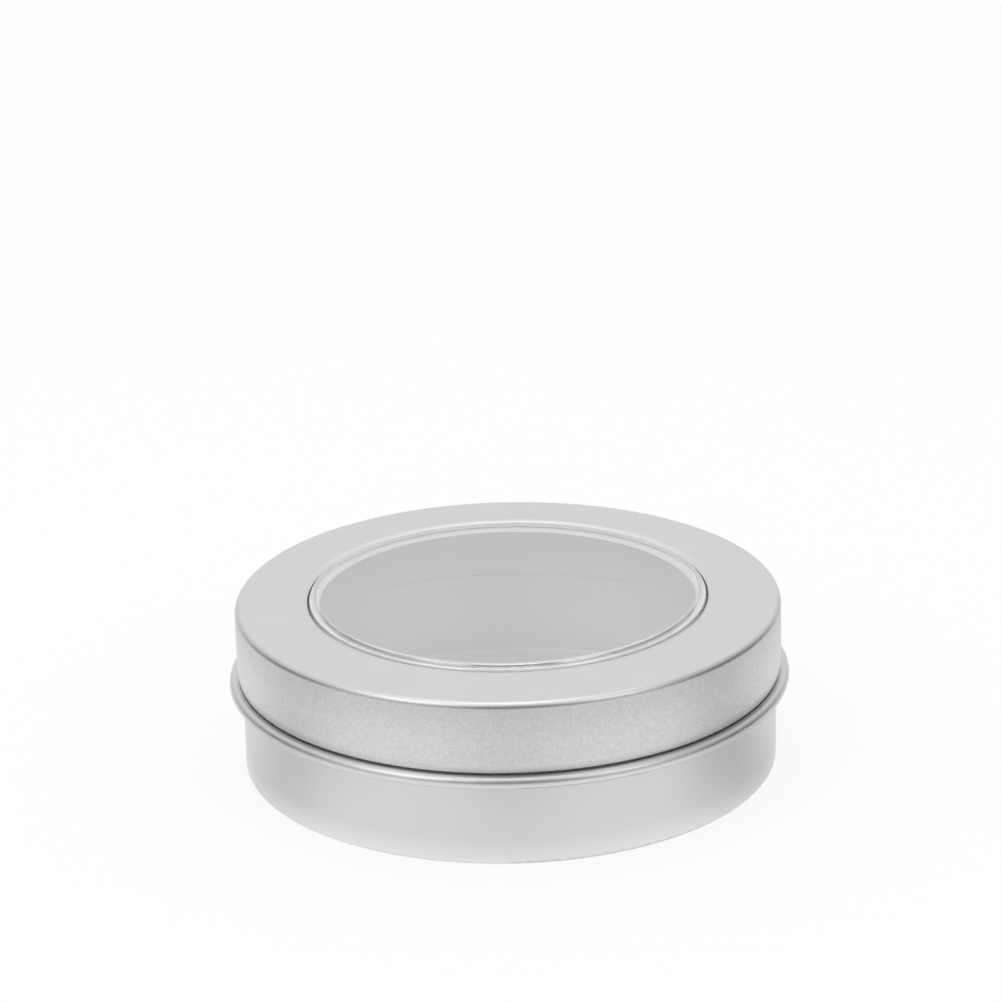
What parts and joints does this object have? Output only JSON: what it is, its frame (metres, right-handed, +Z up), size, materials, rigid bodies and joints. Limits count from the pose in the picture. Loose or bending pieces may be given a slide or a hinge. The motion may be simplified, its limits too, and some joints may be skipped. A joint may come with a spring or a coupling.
{
  "type": "window lid tin",
  "caption": "Round slip lid tin of satin tinplate with a rolled bead round its wall and a raised clear window in its lid, which lifts straight off.",
  "frame": {"origin": "on the tin's axis, level with the foot that it stands on", "axes": "+Z up along the tin's axis; -Y is the side that the picture looks at"},
  "size_m": [0.095, 0.095, 0.03],
  "materials": {
    "tinplate_base": "satin tinplate, smooth drawn wall",
    "tinplate_lid": "satin tinplate with a fine frosted grain",
    "tinplate_ring": "satin tinplate",
    "clear_film": "clear glossy formed film"
  },
  "bodies": {
    "base": {"base_can": "tinplate_base"},
    "lid": {"lid_shell": "tinplate_lid", "window": "clear_film", "retaining_ring": "tinplate_ring"}
  },
  "joints": [
    {"name": "lid_lift", "type": "slide", "parent": "base", "child": "lid", "axis": [0, 0, 1], "range_m": [0, 0.04]}
  ]
}
